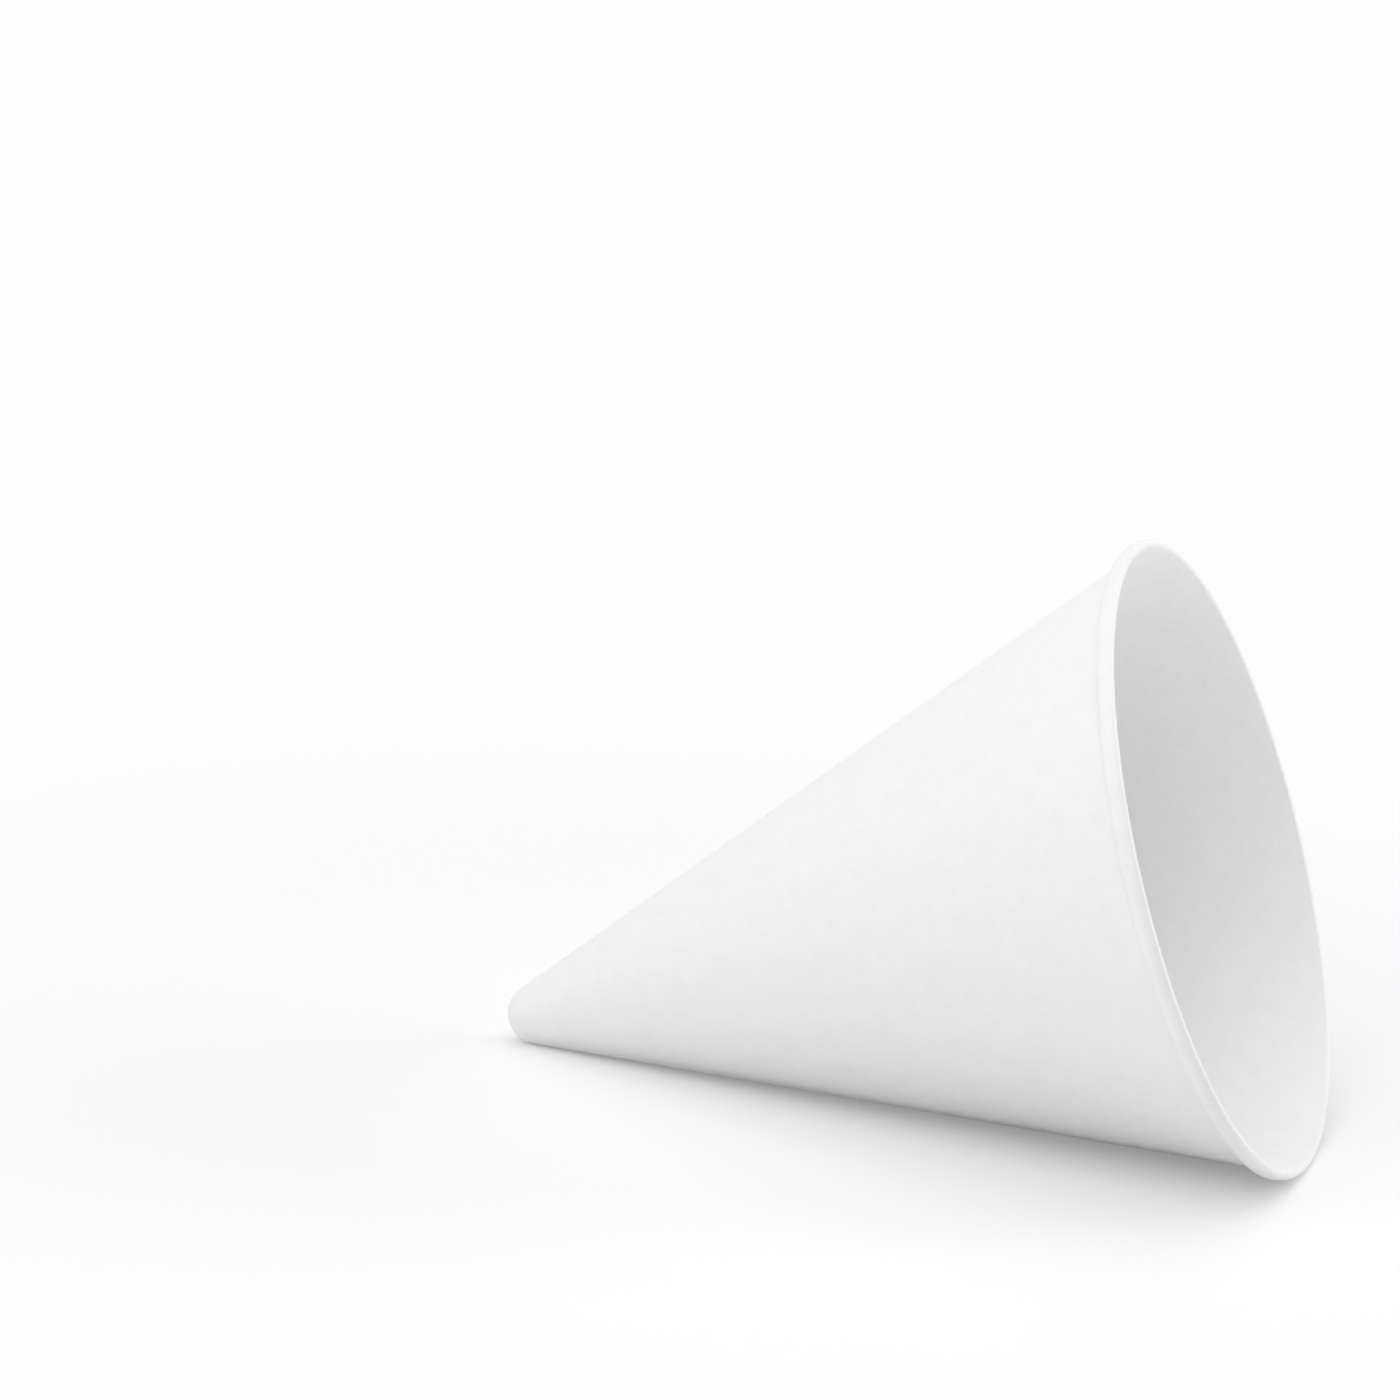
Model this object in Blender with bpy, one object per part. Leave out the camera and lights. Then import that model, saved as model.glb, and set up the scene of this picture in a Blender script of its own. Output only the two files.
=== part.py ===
"""Rolled-rim paper cone cup, lying on its side as it comes to rest.

One sheet of paper is wound into a cone, lapped and glued down one side, rounded
at the tip and rolled outwards at the mouth. Metres, Z up. The floor is z = 0,
the tip points to -X, the mouth opens to +X and the glued lap faces the floor.
"""
import math

import bmesh
import bpy

# Sizes that drive the cup, in metres.
MOUTH_DIAMETER = 0.084      # over the rolled rim
CUP_HEIGHT = 0.100          # along the axis, tip to crest of the roll
PAPER_THICKNESS = 0.00022   # one layer of the sheet
TIP_RADIUS = 0.0039         # outside of the rounded tip
ROLL_HEIGHT = 0.00245       # rolled rim, measured along the wall
CREST_RADIUS = 0.0006       # outside of the roll over its crest
FACE_RADIUS = 0.0018        # outside of the roll down its rounded face
TUCK_RADIUS = 0.0004        # outside of the roll where it turns in
TUCK_GAP = 0.00025          # air between the tucked edge and the wall
LAP_WIDTH = 0.006           # doubled strip under the glued edge
LAP_RISE = 0.002            # width over which the sheet climbs onto itself
WELD = 0.000001             # points closer than this are one point

# Shares and counts.
LAP_BEHIND_SHARE = 5 / 6    # of the lap, lies behind the line through the apex
TIP_LAYERS = 2              # layers pressed together at the tip
FACETS_TO_LAP = 1.5         # from the facet the rim rests on to the lap's edge
LAP_COLUMNS = 6
RISE_COLUMNS = 3
WALL_COLUMNS = 60
TIP_ROWS = 6
WALL_ROWS = 10
CREST_ROWS = 6
FACE_ROWS = 4
TUCK_ROWS = 5
SETTLING_STEPS = 12

# Sizes that follow from them.
TUCK_SHIFT = (
    PAPER_THICKNESS - CREST_RADIUS + TUCK_GAP + TUCK_RADIUS,
    CREST_RADIUS + TUCK_RADIUS - ROLL_HEIGHT,
)
LAP_EDGE = -LAP_WIDTH * LAP_BEHIND_SHARE
LAP_START = LAP_WIDTH + LAP_EDGE
RISE_START = LAP_START + LAP_RISE


def ease(share):
    """Smooth climb from 0 to 1."""
    share = min(max(share, 0.0), 1.0)
    return share * share * (3 - 2 * share)


def face_shift():
    """Centre of the face's arc from the crest's: the arc touches the crest's and the tuck's."""
    to_crest = FACE_RADIUS - CREST_RADIUS
    to_tuck = FACE_RADIUS - TUCK_RADIUS
    apart = math.hypot(*TUCK_SHIFT)
    foot = (apart ** 2 + to_crest ** 2 - to_tuck ** 2) / (2 * apart)
    aside = math.sqrt(to_crest ** 2 - foot ** 2)
    out, up = (shift / apart for shift in TUCK_SHIFT)
    return (out * foot + up * aside, up * foot - out * aside)


def half_angle(centre):
    """Half the cone's angle: the wall touches the tip's ball and the crest's circle."""
    across = centre[0]
    along = centre[1] - TIP_RADIUS
    offset = CREST_RADIUS - PAPER_THICKNESS + TIP_RADIUS
    return math.acos(offset / math.hypot(across, along)) - math.atan2(along, across)


def crest_centre():
    """Centre of the crest's arc, when the roll's face stands out to the mouth's radius."""
    along = CUP_HEIGHT - CREST_RADIUS
    across = MOUTH_DIAMETER / 2 - CREST_RADIUS
    for _ in range(SETTLING_STEPS):
        half = half_angle((across, along))
        face = FACE_SHIFT[0] * math.cos(half) + FACE_SHIFT[1] * math.sin(half)
        across = MOUTH_DIAMETER / 2 - FACE_RADIUS - face
    return (across, along)


FACE_SHIFT = face_shift()
CREST_CENTRE = crest_centre()
HALF_ANGLE = half_angle(CREST_CENTRE)
UP_WALL = (math.sin(HALF_ANGLE), math.cos(HALF_ANGLE))
OUT_OF_WALL = (math.cos(HALF_ANGLE), -math.sin(HALF_ANGLE))
APEX_HEIGHT = TIP_RADIUS - TIP_RADIUS / math.sin(HALF_ANGLE)
TIP_REACH = TIP_RADIUS / math.tan(HALF_ANGLE)
MOUTH_REACH = CREST_CENTRE[0] * UP_WALL[0] + (CREST_CENTRE[1] - APEX_HEIGHT) * UP_WALL[1]


def blend(centre, out_share, up_share):
    """Point at so much out of the wall and so much up the wall from a centre."""
    return tuple(
        centre[axis] + out_share * OUT_OF_WALL[axis] + up_share * UP_WALL[axis]
        for axis in (0, 1)
    )


def row(point, outward, reach, lap, layers):
    """One row of the section: outer face of the first layer, and what lies on it."""
    return {"point": point, "outward": outward, "reach": reach, "lap": lap, "layers": layers}


def tip_rows():
    """Ball of the tip, from its pole up to the wall."""
    rows = []
    for step in range(TIP_ROWS):
        turn = (math.pi / 2 - HALF_ANGLE) * step / TIP_ROWS
        outward = (math.sin(turn), -math.cos(turn))
        point = (TIP_RADIUS * outward[0], TIP_RADIUS * (1 + outward[1]))
        rows.append(row(point, outward, TIP_REACH, ease(step / TIP_ROWS), TIP_LAYERS))
    return rows


def wall_rows():
    """Straight wall, closest rows near the tip, where the lap winds round fastest."""
    rows = []
    low = math.asin(-LAP_EDGE / TIP_REACH)
    high = math.asin(-LAP_EDGE / MOUTH_REACH)
    for step in range(WALL_ROWS + 1):
        reach = -LAP_EDGE / math.sin(low + (high - low) * step / WALL_ROWS)
        point = blend((0.0, APEX_HEIGHT), 0.0, reach)
        pressed = (TIP_LAYERS - 1) * ease(2 - reach / TIP_REACH)
        rows.append(row(point, OUT_OF_WALL, reach, 1.0, 1 + pressed))
    return rows


def arc_row(centre, radius, turn, lap):
    """Row on an arc of the roll, where the outer face of the sheet turns inwards."""
    side = (-math.cos(turn), math.sin(turn))
    inner = radius - PAPER_THICKNESS
    point = blend(centre, inner * side[0], inner * side[1])
    inwards = blend((0.0, 0.0), -side[0], -side[1])
    return row(point, inwards, MOUTH_REACH, lap, 1)


def roll_rows():
    """Rolled rim: over the crest, down the rounded face, and round to the tucked edge."""
    face_centre = blend(CREST_CENTRE, *FACE_SHIFT)
    tuck_centre = blend(CREST_CENTRE, *TUCK_SHIFT)
    face_start = math.pi + math.atan2(FACE_SHIFT[1], -FACE_SHIFT[0])
    tuck_out = TUCK_SHIFT[0] - FACE_SHIFT[0]
    face_end = math.pi + math.atan2(FACE_SHIFT[1] - TUCK_SHIFT[1], tuck_out)
    rows = []
    for step in range(1, CREST_ROWS + 1):
        share = step / CREST_ROWS
        rows.append(arc_row(CREST_CENTRE, CREST_RADIUS, face_start * share, 1 - ease(share)))
    for turn in spread(face_start, face_end, FACE_ROWS)[1:]:
        rows.append(arc_row(face_centre, FACE_RADIUS, turn, 0.0))
    for turn in spread(face_end, math.tau, TUCK_ROWS) + [math.tau]:
        rows.append(arc_row(tuck_centre, TUCK_RADIUS, turn, 0.0))
    return rows


def wound_angle(edge, reach):
    """Turn round the axis of a straight line drawn on the flat sheet beside the apex."""
    return math.asin(edge / reach) / math.sin(HALF_ANGLE)


FACET = math.tau - wound_angle(RISE_START, MOUTH_REACH) + wound_angle(LAP_EDGE, MOUTH_REACH)
FACET = FACET / WALL_COLUMNS
SEAM_ANGLE = FACETS_TO_LAP * FACET - wound_angle(LAP_EDGE, MOUTH_REACH)


def spread(start, end, count):
    """Angles from start towards end, without the end."""
    return [start + (end - start) * step / count for step in range(count)]


def columns(reach):
    """Angles round the axis: across the lap, down the rise, then round the wall."""
    lap_edge = SEAM_ANGLE + wound_angle(LAP_EDGE, reach)
    lap_start = SEAM_ANGLE + wound_angle(LAP_START, reach)
    rise_start = SEAM_ANGLE + wound_angle(RISE_START, reach)
    lap = spread(lap_edge, lap_start, LAP_COLUMNS)
    rise = spread(lap_start, rise_start, RISE_COLUMNS)
    wall = spread(rise_start, lap_edge + math.tau, WALL_COLUMNS)
    return lap, rise, wall


def rise_heights():
    """How far the sheet stands off its first layer on each column of the rise."""
    return [1 - ease(step / RISE_COLUMNS) for step in range(RISE_COLUMNS)]


def outer_ring(line):
    """Outside of the cup: a step down at the lap's edge, a smooth rise at its start."""
    lap, rise, wall = columns(line["reach"])
    angles = [lap[0]] + lap + rise + wall
    lifts = [0.0] + [1.0] * len(lap) + rise_heights() + [0.0] * len(wall)
    return [(angle, PAPER_THICKNESS * line["lap"] * lift) for angle, lift in zip(angles, lifts)]


def inner_ring(line):
    """Inside of the cup: a step at the sheet's inner edge, where the rise ends."""
    lap, rise, wall = columns(line["reach"])
    angles = lap + [rise[0]] + rise + wall
    lifts = [0.0] * (len(lap) + 1) + rise_heights() + [0.0] * len(wall)
    depth = PAPER_THICKNESS * line["layers"]
    return [
        (angle, PAPER_THICKNESS * line["lap"] * lift - depth)
        for angle, lift in zip(angles, lifts)
    ]


def place(line, angle, offset):
    """Point of the cup as (along the axis, towards the floor, towards the viewer)."""
    radius = line["point"][0] + offset * line["outward"][0]
    along = line["point"][1] + offset * line["outward"][1]
    return along, radius * math.cos(angle), radius * math.sin(angle)


def resting_line(points):
    """Slope of the floor against the axis, and the tip's lowest point on it."""
    tip = [point for point in points if point[0] < CUP_HEIGHT / 2]
    rim = [point for point in points if point[0] >= CUP_HEIGHT / 2]
    slope = 0.0
    for _ in range(SETTLING_STEPS):
        low_tip = max(tip, key=lambda point: point[1] - slope * point[0])
        low_rim = max(rim, key=lambda point: point[1] - slope * point[0])
        slope = (low_rim[1] - low_tip[1]) / (low_rim[0] - low_tip[0])
    return slope, low_tip


def lay_down(rings):
    """Turn the cup onto its side and set it on the floor, middle of its length at x = 0."""
    points = [point for ring in rings for point in ring]
    slope, low_tip = resting_line(points)
    lean = math.atan(slope)
    lowest = low_tip[0] * math.sin(lean) - low_tip[1] * math.cos(lean)
    reaches = [point[0] * math.cos(lean) + point[1] * math.sin(lean) for point in points]
    middle = (min(reaches) + max(reaches)) / 2
    laid = []
    for ring in rings:
        laid.append([
            (
                along * math.cos(lean) + down * math.sin(lean) - middle,
                -aside,
                along * math.sin(lean) - down * math.cos(lean) - lowest,
            )
            for along, down, aside in ring
        ])
    return laid


def skin(mesh, rings):
    """Join each ring of vertices to the next."""
    for near, far in zip(rings, rings[1:]):
        for column, vertex in enumerate(near):
            after = (column + 1) % len(near)
            mesh.faces.new((vertex, near[after], far[after], far[column]))


def paper():
    """White uncoated cup paper."""
    material = bpy.data.materials.new("white_cup_paper")
    material.use_nodes = True
    shader = material.node_tree.nodes["Principled BSDF"]
    shader.inputs["Base Color"].default_value = (0.86, 0.86, 0.85, 1.0)
    shader.inputs["Roughness"].default_value = 0.72
    material.diffuse_color = (0.86, 0.86, 0.85, 1.0)
    return material


def build_cup():
    """One closed solid: outside, round the tucked edge of the roll, and back down inside."""
    lines = tip_rows() + wall_rows() + roll_rows()
    outside = [[place(line, *spot) for spot in outer_ring(line)] for line in lines]
    inside = [[place(line, *spot) for spot in inner_ring(line)] for line in lines]
    laid = lay_down(outside + inside)

    mesh = bmesh.new()
    rings = [[mesh.verts.new(point) for point in ring] for ring in laid]
    outside = rings[:len(lines)]
    inside = rings[len(lines):]
    skin(mesh, outside)
    skin(mesh, inside)
    outer_edge = outside[-1][1:]
    inner_edge = inside[-1][:LAP_COLUMNS] + inside[-1][LAP_COLUMNS + 1:]
    skin(mesh, [outer_edge, inner_edge])
    bmesh.ops.remove_doubles(mesh, verts=mesh.verts, dist=WELD)
    bmesh.ops.recalc_face_normals(mesh, faces=mesh.faces)

    data = bpy.data.meshes.new("cone_cup")
    mesh.to_mesh(data)
    mesh.free()
    data.materials.append(paper())
    cup = bpy.data.objects.new("cone_cup", data)
    bpy.context.scene.collection.objects.link(cup)
    return cup


for leftover in list(bpy.data.objects):
    bpy.data.objects.remove(leftover, do_unlink=True)
build_cup()
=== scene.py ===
"""Cone paper cup, lying on its side on a white studio floor.

Laid out as an add-on and run as a script. The cup is one sheet of white cup
paper wound into a cone, lapped and glued, rounded at the tip and rolled outwards
at the mouth. Metres, Z up; the tip points to -X and the mouth opens to +X.
"""

import math

import bmesh
import bpy
import numpy as np
from mathutils import Matrix, Vector


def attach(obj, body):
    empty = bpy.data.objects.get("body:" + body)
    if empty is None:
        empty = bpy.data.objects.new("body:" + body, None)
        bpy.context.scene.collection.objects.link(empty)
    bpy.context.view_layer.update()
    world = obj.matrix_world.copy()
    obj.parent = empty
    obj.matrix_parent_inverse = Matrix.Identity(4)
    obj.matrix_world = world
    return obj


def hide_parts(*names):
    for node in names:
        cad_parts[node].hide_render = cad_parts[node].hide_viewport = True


bl_info = {
    "name": "Cone paper cup",
    "version": (1, 0, 0),
    "blender": (4, 5, 0),
    "location": "3D View > Sidebar > Cone cup",
    "description": "Builds a wound paper cone cup with a rolled rim, and its studio",
    "category": "Object",
}

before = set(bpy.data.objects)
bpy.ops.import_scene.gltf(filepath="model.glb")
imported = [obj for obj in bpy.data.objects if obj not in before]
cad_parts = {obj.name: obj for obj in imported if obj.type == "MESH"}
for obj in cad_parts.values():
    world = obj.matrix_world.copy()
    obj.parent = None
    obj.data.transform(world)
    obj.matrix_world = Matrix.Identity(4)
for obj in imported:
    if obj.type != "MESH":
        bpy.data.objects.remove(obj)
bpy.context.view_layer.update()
CAD_NODE = "cone_cup"
MM = 0.001

# Rows of the sheet from the tip's pole to the tucked edge, and columns round it.
TIP_ROWS = 14
WALL_ROWS = 40
CREST_ROWS = 14
FACE_ROWS = 9
TUCK_ROWS = 10
ROWS = TIP_ROWS + WALL_ROWS + CREST_ROWS + FACE_ROWS + TUCK_ROWS
COLUMNS = 320
WALL_CROWDING = 1.6     # above 1 the wall's rows crowd towards the tip

LAP_KEPT = 0.12         # of the lap's step, left where the tip and roll press it flat
ROLL_PRESS = 0.9        # share of the wall's height where the roll starts to press it
FACETS_TO_LAP = 1.5     # from the floor to the lap's edge, in facets of the part
PART_FACETS = 60
SETTLING_STEPS = 12     # enough for the wall's slope and the lean to stop changing
WELD = 0.001 * MM       # points closer than this are one point
SLIVER = 0.0005 * MM    # edges shorter than this are taken out
SHARP_EDGE = 40         # degrees; the sheet's cut edges turn further than this

PAPER_IOR = 1.5         # of cellulose and wax
FIBRE_NOISE = (0.3, 0.7)    # the grain's noise, from all wax to bare fibre
# The sockets of a Mix node that mixes colours; its other kinds have the same names.
MIX_SHARE, MIX_FIRST, MIX_SECOND, MIX_RESULT = 0, 6, 7, 2

# The floor is a little darker for bounced light than it is seen. Its shade is whole
# out to the first reach from the middle, and gone at the second.
FLOOR_BOUNCED = "F6F6F6"
FLOOR_SEEN = "FBFBFB"
SHADOW_LIFT = 0.28      # share of plain background white in the floor that is seen
SHADOW_REACH = (0.08, 0.2)
FLOOR_HALF_WIDTH = 6.0

# Each lamp's name, its place and its width. All are turned to one point.
LAMPS = (
    ("key", (0.05, 0.12, 0.82), 0.9),
    ("fill", (-0.2, -0.64, 0.63), 0.8),
    ("side", (-0.85, -0.25, 0.3), 0.7),
    ("rim", (0.8, 0.4, 0.25), 0.5),
)
LAMP_AIM = Vector((0.0, 0.0, 0.03))

# The camera that fits the photograph best: degrees it is turned about the vertical,
# tilted down and rolled, and millimetres of lens and sensor.
CAMERA_PLACE = (0.20620, -0.93399, 0.29747)
CAMERA_TURN, CAMERA_TILT, CAMERA_ROLL = -14.306, 14.416, 5.0
CAMERA_LENS = 196.78
CAMERA_SENSOR = 36.0


def linear(colour):
    """An sRGB hex colour as linear red, green, blue and alpha."""
    parts = [int(colour[at:at + 2], 16) / 255 for at in (0, 2, 4)]
    return [part / 12.92 if part <= 0.04045 else ((part + 0.055) / 1.055) ** 2.4
            for part in parts] + [1.0]


def length(name, description, default):
    """A length in metres that the user may change."""
    return bpy.props.FloatProperty(name=name, description=description, default=default,
                                   min=0.0, unit="LENGTH", precision=5)


def colour(name, description, default):
    """A colour that the user may change."""
    return bpy.props.FloatVectorProperty(name=name, description=description, size=4,
                                         subtype="COLOR", min=0.0, max=1.0,
                                         default=linear(default))


class CupSizes(bpy.types.PropertyGroup):
    """Sizes of the cup and its sheet of paper."""
    mouth_diameter: length("Mouth diameter", "Across the rolled rim", 84 * MM)
    cup_height: length("Cup height", "Tip to crest of the roll, along the axis",
                       100 * MM)
    paper: length("Paper", "Thickness of one layer of the sheet", 0.22 * MM)
    tip_radius: length("Tip radius", "Outside of the rounded tip", 3.9 * MM)
    roll_height: length("Roll height", "Rolled rim, measured along the wall", 2.45 * MM)
    crest_radius: length("Crest radius", "Outside of the roll over its crest", 0.6 * MM)
    face_radius: length("Face radius", "Outside of the roll down its rounded face",
                        1.8 * MM)
    tuck_radius: length("Tuck radius", "Outside of the roll where it turns in",
                        0.4 * MM)
    tuck_gap: length("Tuck gap", "Air between the tucked edge and the wall", 0.25 * MM)
    lap_edge: length("Lap behind", "Lap's outer edge, from the line through the apex",
                     5 * MM)
    lap_start: length("Lap ahead", "Sheet's inner edge, from the line through the apex",
                      1 * MM)
    lap_rise: length("Lap rise", "Width over which the sheet climbs onto itself",
                     2 * MM)
    glue: length("Glue", "Glue between the layers of the lap", 0.01 * MM)
    wave_height: length("Wave height", "How far the wall wanders from a true cone",
                        0.05 * MM)
    wave_size: length("Wave size", "Distance between soft waves in the wall", 30 * MM)
    tip_layers: bpy.props.FloatProperty(
        name="Tip layers", description="Layers of paper pressed together at the tip",
        default=2.0, min=1.0)


class CupPaper(bpy.types.PropertyGroup):
    """Colours and surface of the paper."""
    light: colour("Paper", "Bleached cup paper", "F5F5F5")
    dark: colour("Paper, thin places", "Cloudy places where fibres lie thinner",
                 "EEEEEE")
    waxed: bpy.props.FloatProperty(
        name="Waxed roughness", description="Where the light wax fills the paper",
        default=0.44, min=0.0, max=1.0, subtype="FACTOR")
    bare: bpy.props.FloatProperty(
        name="Fibre roughness", description="Where fibre bundles stand out of the wax",
        default=0.56, min=0.0, max=1.0, subtype="FACTOR")
    cloud_size: length("Cloud size", "Distance between cloudy places in the paper",
                       3 * MM)
    fibre_size: length("Fibre size", "Distance between fibre bundles on the surface",
                       0.4 * MM)
    fibre_height: length("Fibre height", "How far the fibre bundles stand up",
                         0.06 * MM)


class CupStudio(bpy.types.PropertyGroup):
    """Lamps, floor and background."""
    key_power: bpy.props.FloatProperty(
        name="Key lamp", description="Large soft lamp overhead",
        default=3.6, min=0.0, unit="POWER")
    fill_power: bpy.props.FloatProperty(
        name="Fill lamp", description="Soft lamp over the viewer's left shoulder",
        default=3.1, min=0.0, unit="POWER")
    side_power: bpy.props.FloatProperty(
        name="Side lamp", description="Low soft lamp beyond the cup's tip",
        default=1.25, min=0.0, unit="POWER")
    rim_power: bpy.props.FloatProperty(
        name="Rim lamp", description="Soft lamp behind, on the side of the cup's mouth",
        default=2.8, min=0.0, unit="POWER")
    ambient: bpy.props.FloatProperty(
        name="Ambient", description="Strength of the even light from all round",
        default=0.3, min=0.0)
    background: colour("Background", "Seen behind the object and as far floor",
                       "FDFDFD")


def add(tree, kind, settings=None, links=None):
    """Add a node with its settings, and give its inputs values or sockets."""
    node = tree.nodes.new(kind)
    for name, value in (settings or {}).items():
        setattr(node, name, value)
    for key, value in (links or {}).items():
        if isinstance(value, bpy.types.NodeSocket):
            tree.links.new(value, node.inputs[key])
        else:
            node.inputs[key].default_value = value
    return node


def work_out(tree, known, steps):
    """Add the node for each step of a sum; its result is known by the step's name."""
    for name, operation, *values in steps:
        links = {at: known.get(value, value) for at, value in enumerate(values)}
        if operation in ("LINEAR", "SMOOTHSTEP"):
            kind, settings = "ShaderNodeMapRange", {"interpolation_type": operation}
        else:
            kind, settings = "ShaderNodeMath", {"operation": operation}
        known[name] = add(tree, kind, settings, links).outputs[0]


def half_angle(sizes, across, along):
    """Half the cone's angle: the wall touches the tip's ball and the crest's circle."""
    climb = along - sizes.tip_radius
    offset = sizes.crest_radius - sizes.paper + sizes.tip_radius
    return math.acos(offset / math.hypot(across, climb)) - math.atan2(climb, across)


def touching(crest, face, tuck, tuck_place):
    """Centre of the roll's face from the crest's: its arc touches crest and tuck."""
    apart = tuck_place.length
    foot = (apart ** 2 + (face - crest) ** 2 - (face - tuck) ** 2) / (2 * apart)
    aside = math.sqrt((face - crest) ** 2 - foot ** 2)
    way = tuck_place / apart
    return Vector((way.x * foot + way.y * aside, way.y * foot - way.x * aside))


def cup_shape(sizes):
    """Everything the winding needs, worked out from the sizes, by input name."""
    tip, crest = sizes.tip_radius, sizes.crest_radius
    face, tuck = sizes.face_radius, sizes.tuck_radius
    tuck_place = Vector((sizes.paper - crest + sizes.tuck_gap + tuck,
                         crest + tuck - sizes.roll_height))
    face_place = touching(crest, face, tuck, tuck_place)
    along = sizes.cup_height - crest
    across = sizes.mouth_diameter / 2 - crest
    for _ in range(SETTLING_STEPS):
        half = half_angle(sizes, across, along)
        up_wall = Vector((math.cos(half), math.sin(half)))
        across = sizes.mouth_diameter / 2 - face - face_place.dot(up_wall)
    half = half_angle(sizes, across, along)
    sine, cosine = math.sin(half), math.cos(half)
    upright = Matrix(((cosine, sine), (-sine, cosine)))
    face_shift = upright @ face_place
    tuck_shift = upright @ tuck_place
    crest_turn = math.pi + math.atan2(face_place.y, -face_place.x)
    to_tuck = tuck_place - face_place
    face_turn = math.pi + math.atan2(-to_tuck.y, to_tuck.x) - crest_turn
    apex = tip - tip / sine
    mouth_reach = across * sine + (along - apex) * cosine
    lap = math.asin(-sizes.lap_edge / mouth_reach) / sine
    rise = math.asin((sizes.lap_start + sizes.lap_rise) / mouth_reach) / sine
    facet = (math.tau - rise + lap) / PART_FACETS
    return {
        "Paper": sizes.paper, "Glue": sizes.glue, "Half Angle": half,
        "Tip Radius": tip, "Tip Layers": sizes.tip_layers,
        "Crest Radius": crest, "Crest Across": across, "Crest Along": along,
        "Crest Turn": crest_turn,
        "Face Radius": face, "Face Across": face_shift.x, "Face Along": face_shift.y,
        "Face Turn": face_turn,
        "Tuck Radius": tuck, "Tuck Across": tuck_shift.x, "Tuck Along": tuck_shift.y,
        "Tuck Turn": math.tau - crest_turn - face_turn,
        "Tip Reach": tip / math.tan(half), "Mouth Reach": mouth_reach,
        "Lap Edge": -sizes.lap_edge, "Lap Start": sizes.lap_start,
        "Rise Start": sizes.lap_start + sizes.lap_rise,
        "Seam Angle": FACETS_TO_LAP * facet - lap,
        "Tip End": TIP_ROWS / ROWS, "Wall End": (TIP_ROWS + WALL_ROWS) / ROWS,
        "Crest End": (TIP_ROWS + WALL_ROWS + CREST_ROWS) / ROWS,
        "Face End": 1 - TUCK_ROWS / ROWS,
        "Wave Height": sizes.wave_height, "Wave Scale": 1 / sizes.wave_size,
    }


# The section runs from the pole of the tip up the wall and round the roll. It turns
# on four arcs. Along the straight wall the arc's centre and radius slide from the tip's
# to the crest's; where the crest, the face and the tuck touch, they change at once.
SECTION = (
    ("u", "ADD", "x", 0.5),
    ("v", "ADD", "y", 0.5),
    ("tip", "LINEAR", "v", 0.0, "Tip End", 0.0, 1.0),
    ("wall rows", "LINEAR", "v", "Tip End", "Wall End", 0.0, 1.0),
    ("wall", "POWER", "wall rows", WALL_CROWDING),
    ("crest", "LINEAR", "v", "Wall End", "Crest End", 0.0, 1.0),
    ("face", "LINEAR", "v", "Crest End", "Face End", 0.0, 1.0),
    ("tuck", "LINEAR", "v", "Face End", 1.0, 0.0, 1.0),
    ("past crest", "GREATER_THAN", "v", "Crest End"),
    ("past face", "GREATER_THAN", "v", "Face End"),
    ("square", "SUBTRACT", math.pi / 2, "Half Angle"),
    ("tip turned", "MULTIPLY", "square", "tip"),
    ("crest turned", "MULTIPLY", "Crest Turn", "crest"),
    ("face turned", "MULTIPLY_ADD", "Face Turn", "face", "crest turned"),
    ("roll turned", "MULTIPLY_ADD", "Tuck Turn", "tuck", "face turned"),
    ("turn", "SUBTRACT", "tip turned", "roll turned"),
    ("outward across", "SINE", "turn"),
    ("turn cosine", "COSINE", "turn"),
    ("outward along", "MULTIPLY", "turn cosine", -1.0),
    ("to crest across", "MULTIPLY", "Crest Across", "wall"),
    ("to face across", "MULTIPLY_ADD", "Face Across", "past crest", "to crest across"),
    ("across change", "SUBTRACT", "Tuck Across", "Face Across"),
    ("centre across", "MULTIPLY_ADD", "across change", "past face", "to face across"),
    ("wall climb", "SUBTRACT", "Crest Along", "Tip Radius"),
    ("to crest along", "MULTIPLY_ADD", "wall climb", "wall", "Tip Radius"),
    ("to face along", "MULTIPLY_ADD", "Face Along", "past crest", "to crest along"),
    ("along change", "SUBTRACT", "Tuck Along", "Face Along"),
    ("centre along", "MULTIPLY_ADD", "along change", "past face", "to face along"),
    ("crest inside", "SUBTRACT", "Crest Radius", "Paper"),
    ("radius fall", "ADD", "Tip Radius", "crest inside"),
    ("fallen", "MULTIPLY", "radius fall", "wall"),
    ("to crest radius", "SUBTRACT", "Tip Radius", "fallen"),
    ("face change", "SUBTRACT", "Crest Radius", "Face Radius"),
    ("to face radius", "MULTIPLY_ADD", "face change", "past crest", "to crest radius"),
    ("tuck change", "SUBTRACT", "Face Radius", "Tuck Radius"),
    ("radius", "MULTIPLY_ADD", "tuck change", "past face", "to face radius"),
)

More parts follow.
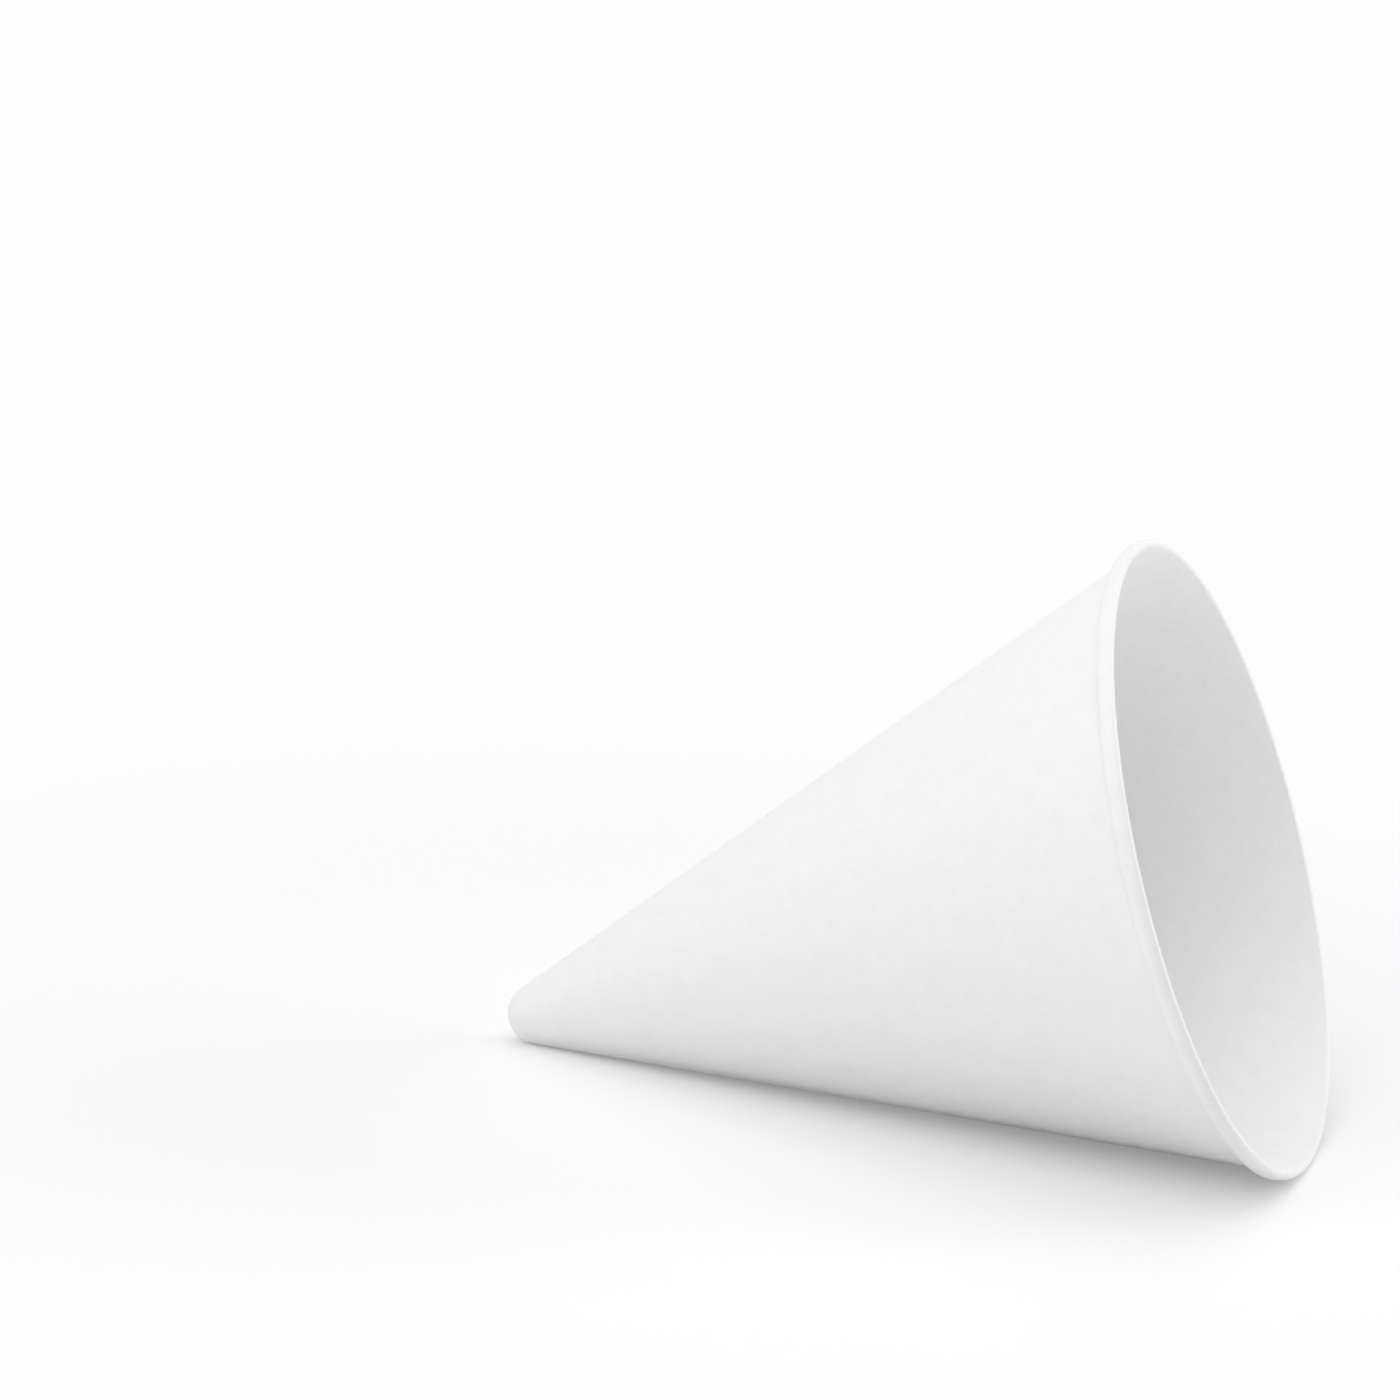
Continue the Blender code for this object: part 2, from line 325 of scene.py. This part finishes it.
# Each edge of the lap is a straight line on the flat sheet, a little to one side of
# the apex, so it runs nearly straight at the mouth and winds round the tip.
WINDING = (
    ("reach span", "SUBTRACT", "Mouth Reach", "Tip Reach"),
    ("reach", "MULTIPLY_ADD", "reach span", "wall", "Tip Reach"),
    ("sine", "SINE", "Half Angle"),
    ("start slope", "DIVIDE", "Lap Start", "reach"),
    ("start bend", "ARCSINE", "start slope"),
    ("start turn", "DIVIDE", "start bend", "sine"),
    ("edge slope", "DIVIDE", "Lap Edge", "reach"),
    ("edge bend", "ARCSINE", "edge slope"),
    ("edge turn", "DIVIDE", "edge bend", "sine"),
    ("rise slope", "DIVIDE", "Rise Start", "reach"),
    ("rise bend", "ARCSINE", "rise slope"),
    ("rise turn", "DIVIDE", "rise bend", "sine"),
    ("first", "ADD", "Seam Angle", "start turn"),
    ("edge", "ADD", "Seam Angle", "edge turn"),
    ("last", "SUBTRACT", "edge", math.tau),
    ("sweep", "SUBTRACT", "last", "first"),
    ("angle", "MULTIPLY_ADD", "sweep", "u", "first"),
    ("rise", "ADD", "Seam Angle", "rise turn"),
    ("climb from", "SUBTRACT", "rise", math.tau),
    ("climb to", "SUBTRACT", "first", math.tau),
    ("climb", "SMOOTHSTEP", "angle", "climb from", "climb to", 0.0, 1.0),
    ("tip press", "SMOOTHSTEP", "tip", 0.0, 1.0, LAP_KEPT, 1.0),
    ("roll press", "SMOOTHSTEP", "wall", ROLL_PRESS, 1.0, 1.0, LAP_KEPT),
    ("press", "MULTIPLY", "tip press", "roll press"),
    ("lift share", "MULTIPLY", "climb", "press"),
    ("layer", "ADD", "Paper", "Glue"),
    ("lift", "MULTIPLY", "lift share", "layer"),
    ("past tip", "DIVIDE", "reach", "Tip Reach"),
    ("layers", "SMOOTHSTEP", "past tip", 1.0, 2.0, "Tip Layers", 1.0),
    ("depth", "MULTIPLY", "layers", "Paper"),
    ("inwards", "MULTIPLY", "depth", -1.0),
    ("downward", "COSINE", "angle"),
    ("sideways", "SINE", "angle"),
    ("centre x", "MULTIPLY", "centre across", "downward"),
    ("centre y", "MULTIPLY", "centre across", "sideways"),
    ("outward x", "MULTIPLY", "outward across", "downward"),
    ("outward y", "MULTIPLY", "outward across", "sideways"),
)


def winding_tree(shape, material):
    """Geometry Nodes that wind a flat grid of paper into the cup, axis upright."""
    tree = bpy.data.node_groups.new("wound_sheet", "GeometryNodeTree")
    for name, value in shape.items():
        socket = tree.interface.new_socket(name, in_out="INPUT",
                                           socket_type="NodeSocketFloat")
        socket.default_value = value
    tree.interface.new_socket("Geometry", in_out="OUTPUT",
                              socket_type="NodeSocketGeometry")
    entry = add(tree, "NodeGroupInput")
    known = {name: entry.outputs[name] for name in shape}

    grid = add(tree, "GeometryNodeMeshGrid", None,
               {"Size X": 1.0, "Size Y": 1.0, "Vertices X": COLUMNS + 1,
                "Vertices Y": ROWS + 1})
    place = add(tree, "ShaderNodeSeparateXYZ", None,
                {0: add(tree, "GeometryNodeInputPosition").outputs[0]})
    known.update(x=place.outputs[0], y=place.outputs[1])
    work_out(tree, known, SECTION)
    work_out(tree, known, WINDING)

    centre = add(tree, "ShaderNodeCombineXYZ", None,
                 {0: known["centre x"], 1: known["centre y"], 2: known["centre along"]})
    outward = add(tree, "ShaderNodeCombineXYZ", None,
                  {0: known["outward x"], 1: known["outward y"],
                   2: known["outward along"]})
    first_layer = add(tree, "ShaderNodeVectorMath", {"operation": "MULTIPLY_ADD"},
                      {0: outward.outputs[0], 1: known["radius"], 2: centre.outputs[0]})
    waves = add(tree, "ShaderNodeTexNoise", None,
                {"Vector": first_layer.outputs[0], "Scale": known["Wave Scale"],
                 "Detail": 1.0, "Roughness": 0.4})
    known["waves"] = waves.outputs[0]
    work_out(tree, known, (
        ("wave", "SUBTRACT", "waves", 0.5),
        ("raise", "MULTIPLY_ADD", "wave", "Wave Height", "lift"),
    ))
    lifted = add(tree, "ShaderNodeVectorMath", {"operation": "MULTIPLY_ADD"},
                 {0: outward.outputs[0], 1: known["raise"], 2: first_layer.outputs[0]})
    thickness = add(tree, "ShaderNodeVectorMath", {"operation": "SCALE"},
                    {0: outward.outputs[0], "Scale": known["inwards"]})

    kept = add(tree, "GeometryNodeCaptureAttribute", {"domain": "POINT"})
    kept.capture_items.new("VECTOR", "Inwards")
    tree.links.new(grid.outputs["Mesh"], kept.inputs["Geometry"])
    tree.links.new(thickness.outputs[0], kept.inputs["Inwards"])
    wound = add(tree, "GeometryNodeSetPosition", None,
                {"Geometry": kept.outputs["Geometry"], "Position": lifted.outputs[0]})
    inner = add(tree, "GeometryNodeExtrudeMesh", {"mode": "FACES"},
                {"Mesh": wound.outputs[0], "Offset": kept.outputs["Inwards"],
                 "Offset Scale": 1.0, "Individual": False})
    outer = add(tree, "GeometryNodeFlipFaces", None, {"Mesh": wound.outputs[0]})
    both = add(tree, "GeometryNodeJoinGeometry")
    tree.links.new(inner.outputs["Mesh"], both.inputs[0])
    tree.links.new(outer.outputs[0], both.inputs[0])
    whole = add(tree, "GeometryNodeMergeByDistance", None,
                {"Geometry": both.outputs[0], "Distance": WELD})
    real = add(tree, "GeometryNodeRealizeInstances", None,
               {"Geometry": whole.outputs[0]})
    finished = add(tree, "GeometryNodeSetMaterial", None,
                   {"Geometry": real.outputs[0], "Material": material})
    add(tree, "NodeGroupOutput", None, {"Geometry": finished.outputs[0]})
    return tree


def plain_mesh(name, tree, values):
    """Run a tree on an empty mesh and return the result as a plain mesh object."""
    empty = bpy.data.meshes.new(name + "_holder")
    holder = bpy.data.objects.new(name + "_holder", empty)
    bpy.context.scene.collection.objects.link(holder)
    modifier = holder.modifiers.new("Winding", "NODES")
    modifier.node_group = tree
    for item in tree.interface.items_tree:
        if item.item_type == "SOCKET" and item.in_out == "INPUT":
            modifier[item.identifier] = values[item.name]
    bpy.context.view_layer.update()
    graph = bpy.context.evaluated_depsgraph_get()
    mesh = bpy.data.meshes.new_from_object(holder.evaluated_get(graph))
    mesh.name = name
    holder.modifiers.remove(modifier)
    bpy.data.objects.remove(holder)
    piece = bpy.data.objects.new(name, mesh)
    bpy.context.scene.collection.objects.link(piece)
    return piece


def lay_down(mesh, height):
    """Turn the upright cup onto its side, its tip and its roll on the floor."""
    points = np.empty(len(mesh.vertices) * 3)
    mesh.vertices.foreach_get("co", points)
    down, _, along = points.reshape(-1, 3).T
    tip = along < height / 2
    slope = 0.0
    for _ in range(SETTLING_STEPS):
        depth = down - slope * along
        low_tip = np.argmax(np.where(tip, depth, -np.inf))
        low_rim = np.argmax(np.where(tip, -np.inf, depth))
        slope = (down[low_rim] - down[low_tip]) / (along[low_rim] - along[low_tip])
    lean = math.atan(slope)
    sine, cosine = math.sin(lean), math.cos(lean)
    lowest = float(along[low_tip] * sine - down[low_tip] * cosine)
    reaches = along * cosine + down * sine
    middle = float(reaches.min() + reaches.max()) / 2
    mesh.transform(Matrix((
        (sine, 0.0, cosine, -middle),
        (0.0, -1.0, 0.0, 0.0),
        (-cosine, 0.0, sine, -lowest),
        (0.0, 0.0, 0.0, 1.0),
    )))


def close_up(mesh):
    """Close the pole, drop stray edges, turn the faces outwards and shade smooth."""
    shell = bmesh.new()
    shell.from_mesh(mesh)
    bmesh.ops.remove_doubles(shell, verts=shell.verts, dist=WELD)
    bmesh.ops.dissolve_degenerate(shell, edges=shell.edges, dist=SLIVER)
    stray = [edge for edge in shell.edges if not edge.link_faces]
    bmesh.ops.delete(shell, geom=stray, context="EDGES")
    bmesh.ops.recalc_face_normals(shell, faces=shell.faces)
    shell.to_mesh(mesh)
    shell.free()
    mesh.shade_smooth()
    mesh.set_sharp_from_angle(angle=math.radians(SHARP_EDGE))


def cup_paper(paper):
    """Bleached kraft cup paper, lightly waxed: matt, even white, with a soft sheen on
    tight curves, faint cloudy places and a felt-like grain of fibres. The fibre bundles
    of such paper stand a few thousandths of a millimetre high, too little to show, so
    they are drawn higher."""
    material = bpy.data.materials.new("bleached_cup_paper")
    material.use_nodes = True
    tree = material.node_tree
    shader = tree.nodes["Principled BSDF"]
    shader.inputs["IOR"].default_value = PAPER_IOR
    object_place = add(tree, "ShaderNodeTexCoord").outputs["Object"]
    clouds = add(tree, "ShaderNodeTexNoise", None,
                 {"Vector": object_place, "Scale": 1 / paper.cloud_size, "Detail": 4.0,
                  "Roughness": 0.6})
    tint = add(tree, "ShaderNodeMix", {"data_type": "RGBA"},
               {MIX_SHARE: clouds.outputs[0], MIX_FIRST: list(paper.dark),
                MIX_SECOND: list(paper.light)})
    tree.links.new(tint.outputs[MIX_RESULT], shader.inputs["Base Color"])
    fibres = add(tree, "ShaderNodeTexNoise", None,
                 {"Vector": object_place, "Scale": 1 / paper.fibre_size, "Detail": 2.0,
                  "Roughness": 0.55, "Distortion": 0.6})
    gloss = add(tree, "ShaderNodeMapRange", None,
                {"Value": fibres.outputs[0], "From Min": FIBRE_NOISE[0],
                 "From Max": FIBRE_NOISE[1], "To Min": paper.waxed,
                 "To Max": paper.bare})
    tree.links.new(gloss.outputs[0], shader.inputs["Roughness"])
    grain = add(tree, "ShaderNodeBump", None,
                {"Strength": 1.0, "Distance": paper.fibre_height,
                 "Height": fibres.outputs[0]})
    tree.links.new(grain.outputs[0], shader.inputs["Normal"])
    return material


def studio_floor(background):
    """White studio sweep: seen, it is near the background's white and keeps the
    shadow; for bounced light it is a pale grey card."""
    material = bpy.data.materials.new("white_studio_floor")
    material.use_nodes = True
    tree = material.node_tree
    tree.nodes.remove(tree.nodes["Principled BSDF"])
    path = add(tree, "ShaderNodeLightPath")
    card = add(tree, "ShaderNodeMix", {"data_type": "RGBA"},
               {MIX_SHARE: path.outputs["Is Camera Ray"],
                MIX_FIRST: linear(FLOOR_BOUNCED), MIX_SECOND: linear(FLOOR_SEEN)})
    lit = add(tree, "ShaderNodeBsdfDiffuse", None, {"Color": card.outputs[MIX_RESULT]})
    far = add(tree, "ShaderNodeEmission", None,
              {"Color": list(background), "Strength": 1.0})
    softened = add(tree, "ShaderNodeMath", {"operation": "MULTIPLY"},
                   {0: path.outputs["Is Camera Ray"], 1: SHADOW_LIFT})
    near = add(tree, "ShaderNodeMixShader", None,
               {0: softened.outputs[0], 1: lit.outputs[0], 2: far.outputs[0]})
    place = add(tree, "ShaderNodeTexCoord").outputs["Object"]
    away = add(tree, "ShaderNodeVectorMath", {"operation": "LENGTH"}, {0: place})
    share = add(tree, "ShaderNodeMapRange", {"interpolation_type": "SMOOTHSTEP"},
                {"Value": away.outputs["Value"], "From Min": SHADOW_REACH[0],
                 "From Max": SHADOW_REACH[1]})
    mixed = add(tree, "ShaderNodeMixShader", None,
                {0: share.outputs[0], 1: near.outputs[0], 2: far.outputs[0]})
    tree.links.new(mixed.outputs[0], tree.nodes["Material Output"].inputs["Surface"])
    return material


def white_world(studio):
    """Even light for the object; plain background white for what looks past it."""
    world = bpy.data.worlds.new("white_studio")
    bpy.context.scene.world = world
    world.use_nodes = True
    tree = world.node_tree
    path = add(tree, "ShaderNodeLightPath")
    seen = add(tree, "ShaderNodeMath", {"operation": "MAXIMUM"},
               {0: path.outputs["Is Camera Ray"], 1: path.outputs["Is Glossy Ray"]})
    seen = add(tree, "ShaderNodeMath", {"operation": "MAXIMUM"},
               {0: seen.outputs[0], 1: path.outputs["Is Transmission Ray"]})
    light = add(tree, "ShaderNodeBackground", None,
                {"Color": linear("FFFFFF"), "Strength": studio.ambient})
    back = add(tree, "ShaderNodeBackground", None,
               {"Color": list(studio.background), "Strength": 1.0})
    mixed = add(tree, "ShaderNodeMixShader", None,
                {0: seen.outputs[0], 1: light.outputs[0], 2: back.outputs[0]})
    tree.links.new(mixed.outputs[0], tree.nodes["World Output"].inputs["Surface"])


def soft_lamp(name, place, width, power):
    """A square soft lamp at a place, turned to the point that all lamps aim at."""
    lamp = bpy.data.lights.new(name, "AREA")
    lamp.shape = "SQUARE"
    lamp.size = width
    lamp.energy = power
    holder = bpy.data.objects.new(name, lamp)
    holder.location = place
    towards = LAMP_AIM - holder.location
    holder.rotation_euler = towards.to_track_quat("-Z", "Y").to_euler()
    bpy.context.scene.collection.objects.link(holder)


def photo_camera():
    """Long lens, a little above the floor, at the photograph's viewing angle."""
    camera = bpy.data.cameras.new("photo_camera")
    camera.sensor_width = CAMERA_SENSOR
    camera.lens = CAMERA_LENS
    camera.clip_start = 0.05
    camera.clip_end = 50.0
    turn, tilt = math.radians(CAMERA_TURN), math.radians(CAMERA_TILT)
    roll = math.radians(CAMERA_ROLL)
    forward = Vector((math.sin(turn) * math.cos(tilt), math.cos(turn) * math.cos(tilt),
                      -math.sin(tilt)))
    right = Vector((math.cos(turn), -math.sin(turn), 0.0))
    up = right.cross(forward)
    level = right * math.cos(roll) + up * math.sin(roll)
    upright = up * math.cos(roll) - right * math.sin(roll)
    turned = Matrix((level, upright, -forward)).transposed().to_4x4()
    holder = bpy.data.objects.new("photo_camera", camera)
    holder.matrix_world = Matrix.Translation(CAMERA_PLACE) @ turned
    bpy.context.scene.collection.objects.link(holder)
    bpy.context.scene.camera = holder


class CUP_OT_cup(bpy.types.Operator):
    """Wind the sheet into the cup, lay it on its side and give it its paper"""
    bl_idname = "cone_cup.cup"
    bl_label = "Cone cup"

    def execute(self, context):
        sizes = context.scene.cone_cup_sizes
        shape = cup_shape(sizes)
        material = cup_paper(context.scene.cone_cup_paper)
        cup = plain_mesh("paper_cup", winding_tree(shape, material), shape)
        lay_down(cup.data, sizes.cup_height)
        close_up(cup.data)
        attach(cup, "root")
        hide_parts(CAD_NODE)
        return {"FINISHED"}


class CUP_OT_stage(bpy.types.Operator):
    """Lay the studio floor, hang the lamps and set the camera"""
    bl_idname = "cone_cup.stage"
    bl_label = "Studio"

    def execute(self, context):
        studio = context.scene.cone_cup_studio
        mesh = bpy.data.meshes.new("studio_floor")
        far = FLOOR_HALF_WIDTH
        mesh.from_pydata([(-far, -far, 0), (far, -far, 0), (far, far, 0),
                          (-far, far, 0)], [], [(0, 1, 2, 3)])
        mesh.materials.append(studio_floor(studio.background))
        floor = bpy.data.objects.new("studio_floor", mesh)
        context.scene.collection.objects.link(floor)
        white_world(studio)
        for name, place, width in LAMPS:
            power = getattr(studio, name + "_power")
            soft_lamp(name + "_lamp", place, width, power)
        photo_camera()
        context.scene.view_settings.view_transform = "Standard"
        return {"FINISHED"}


class CUP_PT_panel(bpy.types.Panel):
    """Sizes, paper and studio of the cone cup"""
    bl_label = "Cone cup"
    bl_space_type = "VIEW_3D"
    bl_region_type = "UI"
    bl_category = "Cone cup"

    def draw(self, context):
        for group in (context.scene.cone_cup_sizes, context.scene.cone_cup_paper,
                      context.scene.cone_cup_studio):
            box = self.layout.box()
            for name in group.__annotations__:
                box.prop(group, name)
        for operator in OPERATORS:
            self.layout.operator(operator.bl_idname)


GROUPS = {"cone_cup_sizes": CupSizes, "cone_cup_paper": CupPaper,
          "cone_cup_studio": CupStudio}
OPERATORS = (CUP_OT_cup, CUP_OT_stage)


def register():
    """Register the classes and hang the property groups on the scene."""
    for made in (*GROUPS.values(), *OPERATORS, CUP_PT_panel):
        bpy.utils.register_class(made)
    for name, group in GROUPS.items():
        setattr(bpy.types.Scene, name, bpy.props.PointerProperty(type=group))


def unregister():
    """Undo register."""
    for name in GROUPS:
        delattr(bpy.types.Scene, name)
    for made in (CUP_PT_panel, *reversed(OPERATORS), *reversed(GROUPS.values())):
        bpy.utils.unregister_class(made)


def main():
    """Build the cup and its studio."""
    register()
    bpy.ops.cone_cup.cup()
    bpy.ops.cone_cup.stage()


if __name__ == "__main__":
    main()
